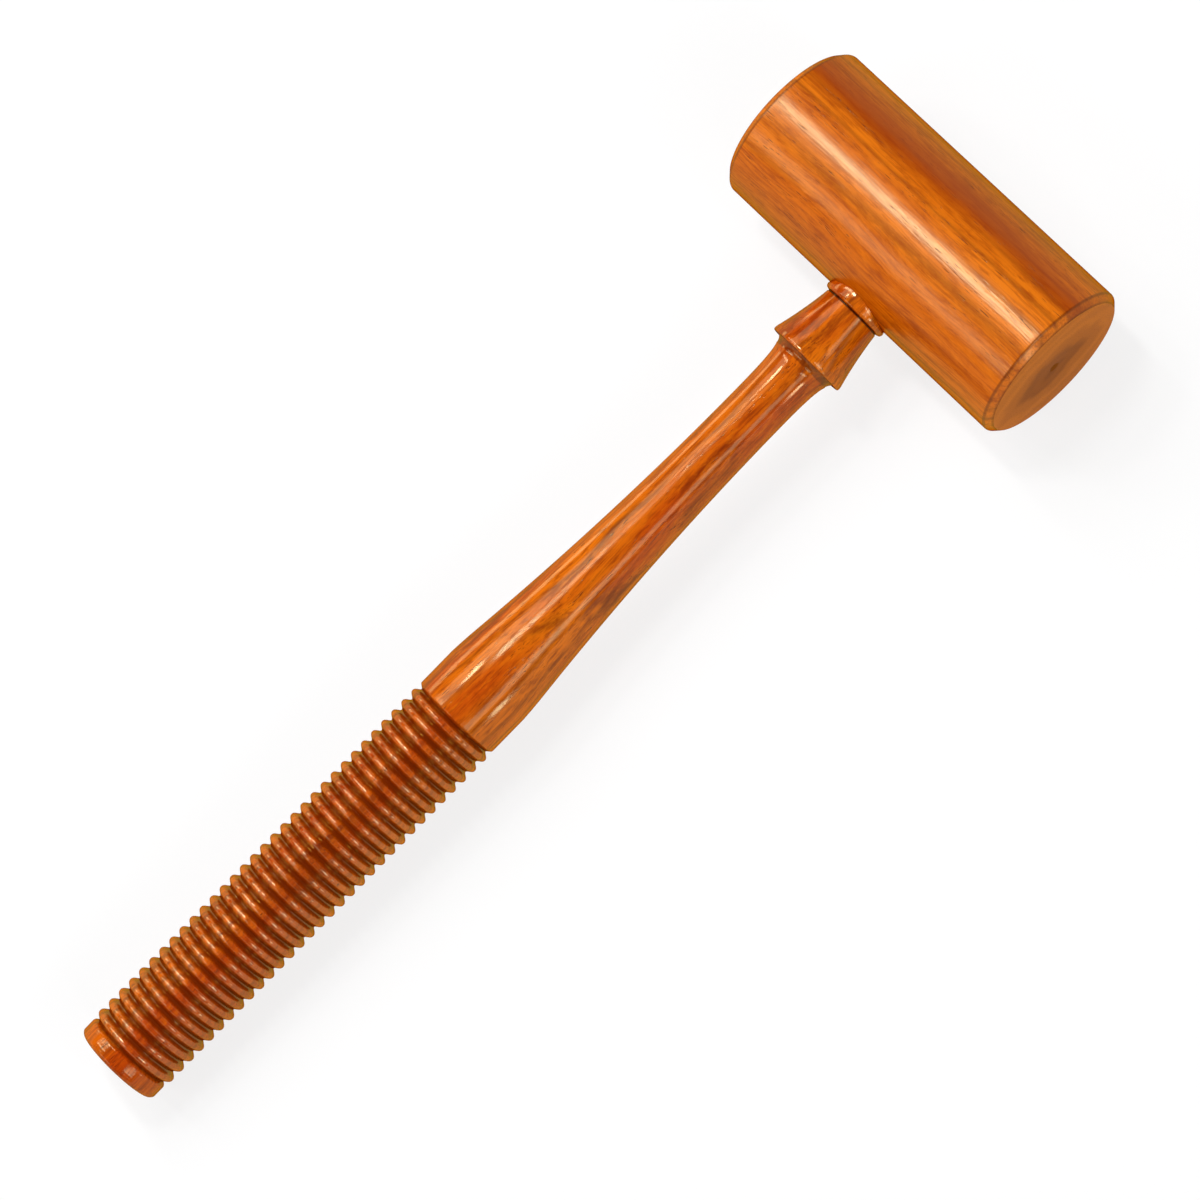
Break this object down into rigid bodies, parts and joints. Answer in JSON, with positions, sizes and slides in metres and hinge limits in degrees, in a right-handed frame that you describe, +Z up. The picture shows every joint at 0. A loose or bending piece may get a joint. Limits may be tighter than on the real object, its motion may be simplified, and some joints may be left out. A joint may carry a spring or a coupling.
{
  "type": "surgical mallet",
  "caption": "Turned hardwood surgical mallet: chamfered cylindrical head on a slim handle with a flared collar and a ringed grip.",
  "frame": {"origin": "on the ground, under the middle of the mallet's length, as it lies on the side of its head and one ring of its grip", "axes": "+X from the head towards the butt, +Y along the axis of the head, +Z up"},
  "size_m": [0.24, 0.073, 0.035],
  "materials": {
    "head_wood": "clear lacquer on polished hardwood",
    "handle_wood": "clear lacquer on polished hardwood"
  },
  "bodies": {
    "root": {"head": "head_wood", "handle": "handle_wood"}
  },
  "joints": []
}
